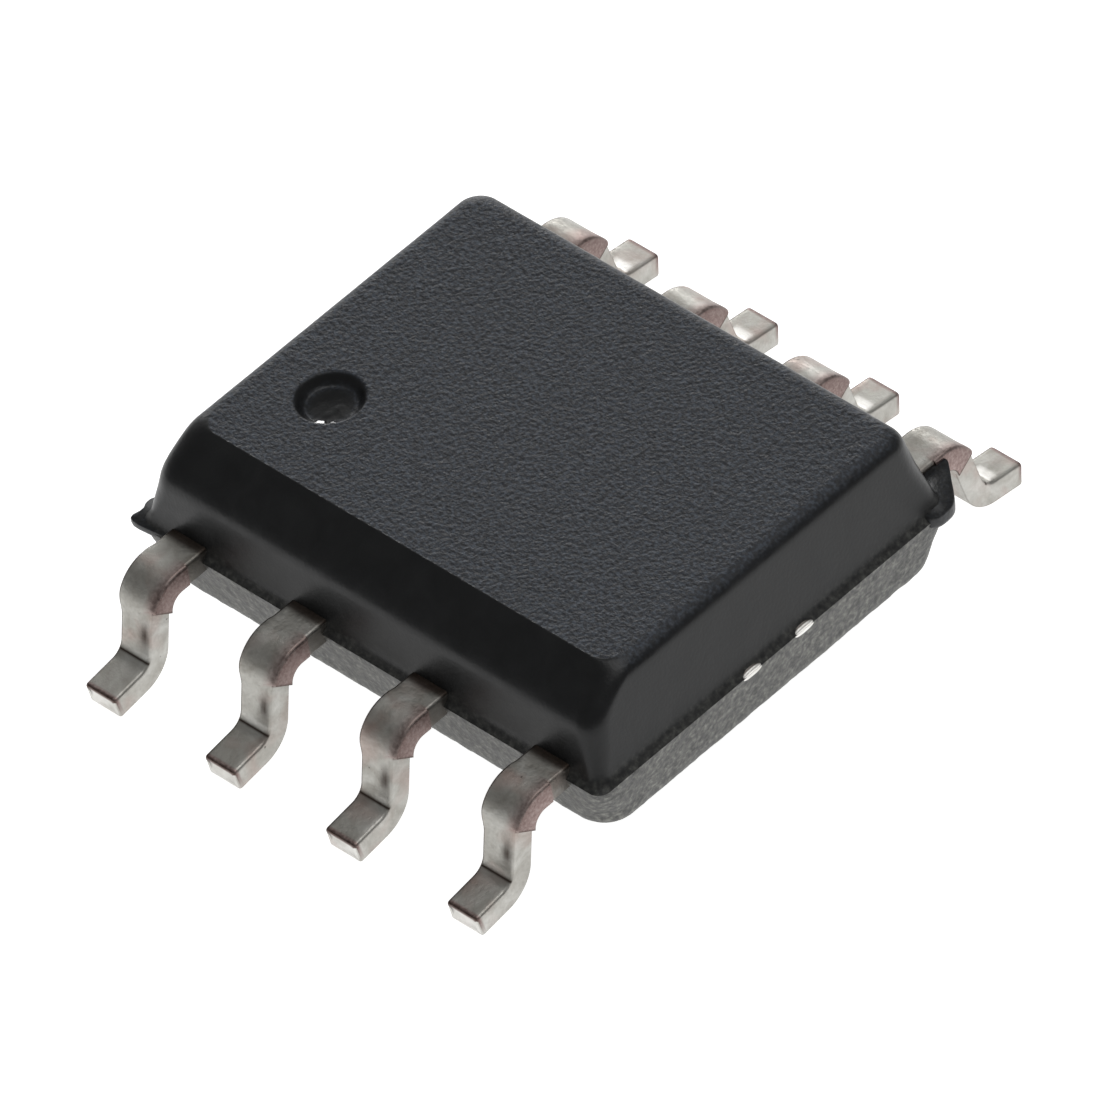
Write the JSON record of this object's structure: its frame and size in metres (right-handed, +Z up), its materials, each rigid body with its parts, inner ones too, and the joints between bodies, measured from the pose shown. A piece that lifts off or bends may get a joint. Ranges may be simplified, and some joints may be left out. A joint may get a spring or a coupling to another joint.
{
  "type": "operational amplifier chip",
  "caption": "Small-outline surface-mount operational amplifier: black moulded body with a bevelled edge and dimple, and gull-wing leads on its two long sides.",
  "frame": {"origin": "middle of the package on the seating plane, the plane that the undersides of the feet stand on", "axes": "+X along the body from the lead 1 end to the lead 4 end; +Y across the body from the row of leads 1 to 4 to the row of leads 5 to 8; +Z up out of the circuit board"},
  "size_m": [0.005, 0.006, 0.0016],
  "materials": {
    "moulded_epoxy": "silica-filled epoxy, spark-eroded grain on top, smoother drafted sides",
    "tin_plated_copper": "matte tin plate, bare copper alloy at the trimmed edges",
    "bare_copper_alloy": "stamped, silver-spot plated, sheared ends bare",
    "silver_filled_adhesive": "cured silver-filled epoxy",
    "silicon": "sawn silicon with a passivated top",
    "gold_wire": "drawn gold"
  },
  "bodies": {
    "root": {"lead_1": "tin_plated_copper", "lead_2": "tin_plated_copper", "lead_3": "tin_plated_copper", "lead_4": "tin_plated_copper", "lead_5": "tin_plated_copper", "lead_6": "tin_plated_copper", "lead_7": "tin_plated_copper", "lead_8": "tin_plated_copper", "die_paddle": "bare_copper_alloy", "die_attach": "silver_filled_adhesive", "die": "silicon", "bond_wire_1": "gold_wire", "bond_wire_2": "gold_wire", "bond_wire_3": "gold_wire", "bond_wire_4": "gold_wire", "bond_wire_5": "gold_wire", "bond_wire_6": "gold_wire", "bond_wire_7": "gold_wire", "bond_wire_8": "gold_wire", "mold_body": "moulded_epoxy"}
  },
  "joints": []
}
